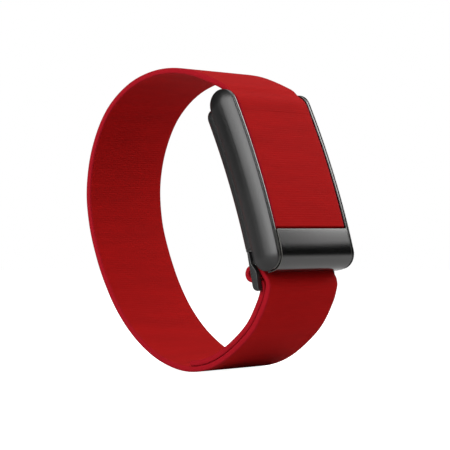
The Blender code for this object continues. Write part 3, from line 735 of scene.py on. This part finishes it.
def section_ring(point, normal, thick, rib, wobble):
    """The band's section at one place of its route: pairs of a point and its distance across the band."""
    half_t = thick / 2
    radius = min(SELVEDGE_R, half_t * 0.9)
    flat = BAND_HALF - radius
    shares = (-1, -0.95, -0.71, -0.36, 0, 0.36, 0.71, 0.95, 1)
    ring = []
    for side in (1, -1):
        for share in shares[::side]:
            fade = 1.0 if abs(share) < 0.9 else 0.5
            ring.append((share * flat, side * (half_t + rib * fade)))
        for step in range(1, EDGE_STEPS):
            angle = math.radians(90 - 180 * step / EDGE_STEPS)
            height = math.copysign(abs(math.sin(angle)) ** 0.8, math.sin(angle))
            depth = 0.0 if 2 * step == EDGE_STEPS else height
            ring.append((side * (flat + radius * math.cos(angle) ** 0.6), side * half_t * depth))
    return [(Vector((x + wobble * (x / BAND_HALF), *(point + normal * n))), x) for x, n in ring]


def sweep_band(name, route, first, last, thickness):
    """The band's section swept along route[first:last + 1], with the knit's metric UV."""
    rings, across = [], []
    for i in range(first, last + 1):
        along = (route[min(i + 2, len(route) - 1)] - route[max(i - 2, 0)]).normalized()
        normal = Vector((-along.y, along.x))
        phase = 2 * math.pi * i / SAMPLES_PER_RIB
        place = noise.noise(Vector((i * 0.004, 7.3, 1.9)))
        rib = RIB_HEIGHT * math.cos(phase) * (0.8 + 0.5 * place)
        wobble = 0.05 * MM * noise.noise(Vector((i * 0.013, 2.1, 5.7)))
        end_gap = min(i - first, last - i)
        thick = thickness(i)
        if i < 4 or i > len(route) - 5:
            thick *= (0.55, 0.8, 0.92, 0.98, 1.0)[min(end_gap, 4)]
        ring = section_ring(route[i], normal, thick, rib, wobble)
        rings.append([p for p, _ in ring])
        across.append([x for _, x in ring])
    obj = loft(name, rings)
    mesh = obj.data
    uv = mesh.uv_layers.new(name="knit")
    count = len(rings[0])
    for loop in mesh.loops:
        ring, at = divmod(loop.vertex_index, count)
        uv.data[loop.index].uv = (across[ring][at] / MM, (first + ring) * RIB_PITCH / SAMPLES_PER_RIB / MM)
    mesh.shade_smooth()
    mesh.set_sharp_from_angle(angle=math.radians(60))
    return obj


def build_band(materials):
    route, outside_length = band_route()
    spacing = RIB_PITCH / SAMPLES_PER_RIB
    turn_from = int(outside_length / spacing)
    turn_to = turn_from + int(TURN_LENGTH / spacing)
    face_to = int(FACE_LENGTH / spacing)

    def thickness(i):
        if i < face_to:
            return FACE_THICK
        if i < turn_from:
            return BAND_THICK
        if i < turn_to:
            return BAND_THICK + (TURN_THICK - BAND_THICK) * min(1, (i - turn_from) / TAPER_STEPS)
        return min(BAND_THICK, TURN_THICK + (BAND_THICK - TURN_THICK) * (i - turn_to) / TAPER_STEPS)

    seam_y = -6.0 * MM
    seam = next(i for i in range(turn_from, 0, -1) if route[i].x > seam_y)
    seam -= (seam - SAMPLES_PER_RIB // 2) % SAMPLES_PER_RIB
    upper = sweep_band("band_upper", route, 0, seam, thickness)
    paint(upper, materials["knit"])
    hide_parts("band_face_panel", "band_bridge", "band_loop")
    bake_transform(upper)
    lower = sweep_band("band_lower", route, seam, len(route) - 1, thickness)
    paint(lower, materials["knit"])
    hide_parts("band_turn", "band_return", "band_end_tab")
    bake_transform(lower)


def build_tongue(materials):
    """The band's thinned end, under the cover and hooked round its anchor bar."""
    tongue_top = COVER_TOP - COVER_WALL - FIT
    outline = [(COVER_EDGE_S + 1.2 * MM, PANEL_H[0]), (COVER_EDGE_S + 1.2 * MM, tongue_top)]
    outline += arc(ANCHOR, tongue_top - ANCHOR[1], 90, 340, 24)
    outline += arc(ANCHOR, ANCHOR_R + FIT, 340, 90, 24)
    tongue = pod_prism("band_tongue", outline, -BAND_HALF + FIT, BAND_HALF - FIT)
    bevel(tongue, 0.1 * MM, 2, angle=60)
    uv = tongue.data.uv_layers.new(name="knit")
    for loop in tongue.data.loops:
        place = tongue.data.vertices[loop.vertex_index].co
        uv.data[loop.index].uv = (place.x / MM, (place.y + place.z) / MM)
    shade(tongue)
    paint(tongue, materials["knit"])
    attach(tongue, "clasp")


# ---- CAD pieces that stay ------------------------------------------------------------------------------

def finish_cad_nodes(materials):
    finishes = {
        "steel": ("hinge_pin", "adjuster_pin", "detent_spring", "band_anchor", "adjuster_cross_bar",
                  "motor_can", "motor_weight"),
        "silicone": ("housing_seal", "light_baffle"),
        "board": ("main_board", "sensor_board"),
        "chip": ("processor_chip", "radio_chip"),
        "foil": ("battery_cell",),
        "led": ("led_1", "led_2", "led_3"),
        "photodiode": ("photodiode_1", "photodiode_2", "photodiode_3", "photodiode_4"),
    }
    for finish, nodes in finishes.items():
        for name in nodes:
            node = frame["nodes"][name]
            for material_slot in node.material_slots:
                material_slot.material = materials[finish]


# ---- camera, floor and light ---------------------------------------------------------------------------

def direction(azimuth, elevation):
    """The unit vector towards an azimuth and elevation in degrees: 0, 0 is the front, -Y, and 90, 0 is +X."""
    a, e = math.radians(azimuth), math.radians(elevation)
    return Vector((math.sin(a) * math.cos(e), -math.cos(a) * math.cos(e), math.sin(e)))


def build_camera():
    azimuth, distance = 309.48, 410.0 * MM
    sideways, lower = 0.11, 0.82  # millimetres off the loop's centre
    towards = direction(azimuth, 0)
    right = Vector((-towards.y, towards.x, 0))
    data = bpy.data.cameras.new("camera")
    data.lens = 150.4
    data.sensor_width = 36.0
    data.clip_start = 0.01
    camera = show(data, "camera")
    camera.location = LOOP_CENTRE + towards * distance - right * sideways * MM - Vector((0, 0, lower * MM))
    camera.rotation_euler = towards.to_track_quat("Z", "Y").to_euler()
    bpy.context.scene.camera = camera


def softbox(name, azimuth, elevation, distance, size, radiance):
    """A rectangular light aimed at the tracker; its radiance is what a mirror would show at any size."""
    data = bpy.data.lights.new(name, "AREA")
    data.shape = "RECTANGLE"
    data.size, data.size_y = size
    data.energy = radiance * math.pi * size[0] * size[1]
    light = show(data, name)
    towards = direction(azimuth, elevation)
    light.location = LOOP_CENTRE + towards * distance
    light.rotation_euler = towards.to_track_quat("Z", "Y").to_euler()


def build_floor():
    """Pale paper that the camera sees lit up, so that it runs into the white behind it with no horizon."""
    rings = [[(r * math.cos(a), r * math.sin(a), z) for a in (math.radians(5 * i) for i in range(72))]
             for r, z in ((0.9, -0.002), (0.9, 0.0))]
    floor = loft("floor", rings)
    material, tree, shader = begin("floor_paper", Roughness=0.9, Emission_Color=(1, 1, 1, 1))
    colour = mixed(tree, grain(tree, 60), (0.68, 0.68, 0.68, 1), (0.72, 0.72, 0.72, 1))
    tree.links.new(colour, shader.inputs["Base Color"])
    seen = maths(tree, "MULTIPLY", add(tree, "LightPath").outputs["Is Camera Ray"], FLOOR_GLOW)
    tree.links.new(seen, shader.inputs["Emission Strength"])
    paint(floor, material)


def build_world():
    """White behind the object, and a dim grey room in its reflections."""
    world = bpy.data.worlds.new("studio")
    bpy.context.scene.world = world
    world.use_nodes = True
    tree = world.node_tree
    tree.nodes.clear()
    seen = add(tree, "Background", {"Color": (1, 1, 1, 1), "Strength": 1.0})
    room = add(tree, "Background", {"Color": (0.8, 0.82, 0.85, 1), "Strength": 0.01})
    camera_ray = add(tree, "LightPath").outputs["Is Camera Ray"]
    mix = add(tree, "MixShader", {0: camera_ray, 1: room.outputs[0], 2: seen.outputs[0]})
    add(tree, "OutputWorld", {"Surface": mix.outputs[0]})


def build_studio():
    build_camera()
    build_floor()
    build_world()
    softbox("top_softbox", 20, 78, 0.6, (0.6, 0.6), 1.4)
    softbox("left_softbox", 280, 18, 0.6, (0.3, 0.3), 7.5)
    softbox("rear_left_softbox", 252, 18, 0.6, (0.26, 0.3), 4.5)
    softbox("upper_left_softbox", 300, 55, 0.6, (0.35, 0.3), 2.4)
    softbox("upper_right_softbox", 85, 52, 0.6, (0.6, 0.3), 1.4)
    softbox("right_softbox", 70, 28, 0.25, (0.14, 0.11), 6.3)
    softbox("front_softbox", 12, 25, 0.6, (0.3, 0.3), 0.8)
    bpy.context.scene.view_settings.view_transform = "Standard"


def main():
    build_studio()
    materials = make_materials()
    build_band(materials)
    build_tongue(materials)
    build_upper_housing(materials)
    build_lower_housing(materials)
    build_window(materials)
    build_clasp_frame(materials)
    build_clasp_cover(materials)
    build_adjuster(materials)
    finish_cad_nodes(materials)


main()
